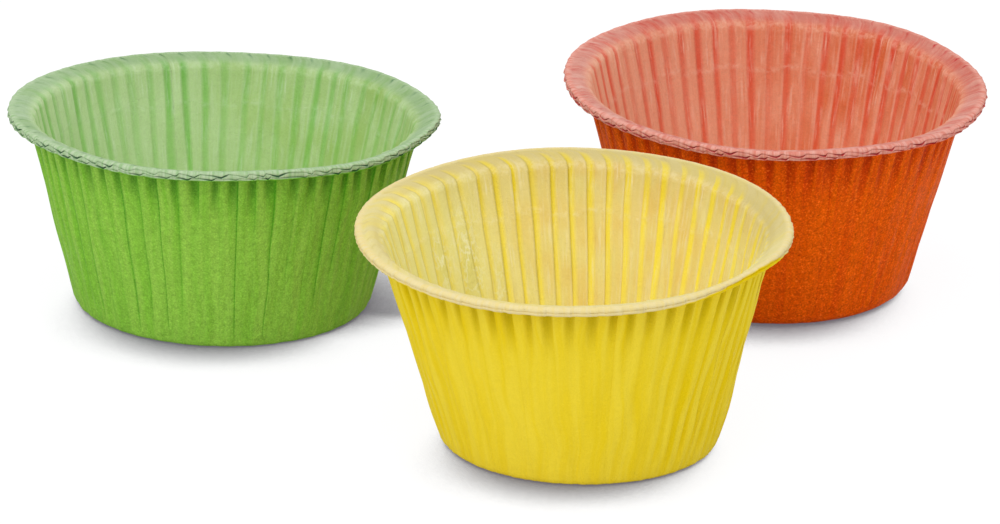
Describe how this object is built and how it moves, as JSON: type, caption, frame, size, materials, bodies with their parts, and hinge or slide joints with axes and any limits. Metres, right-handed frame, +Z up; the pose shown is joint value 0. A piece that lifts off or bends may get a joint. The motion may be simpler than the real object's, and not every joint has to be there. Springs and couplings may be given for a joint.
{
  "type": "set of cupcake liners",
  "caption": "Set of separate cupcake liners in green, yellow and orange-red paper: round cups with a flat base, a leaning pleated wall and a flared rim with a turned edge.",
  "frame": {"origin": "on the table, under the middle of the box around the liners", "axes": "+Z up, +X from the green liner towards the red one, -Y towards the viewer in front"},
  "size_m": [0.1776, 0.1604, 0.0411],
  "materials": {
    "green_paper": "matt",
    "yellow_paper": "matt",
    "red_paper": "matt"
  },
  "bodies": {
    "root": {"green_liner": "green_paper", "yellow_liner": "yellow_paper", "red_liner": "red_paper"}
  },
  "joints": []
}
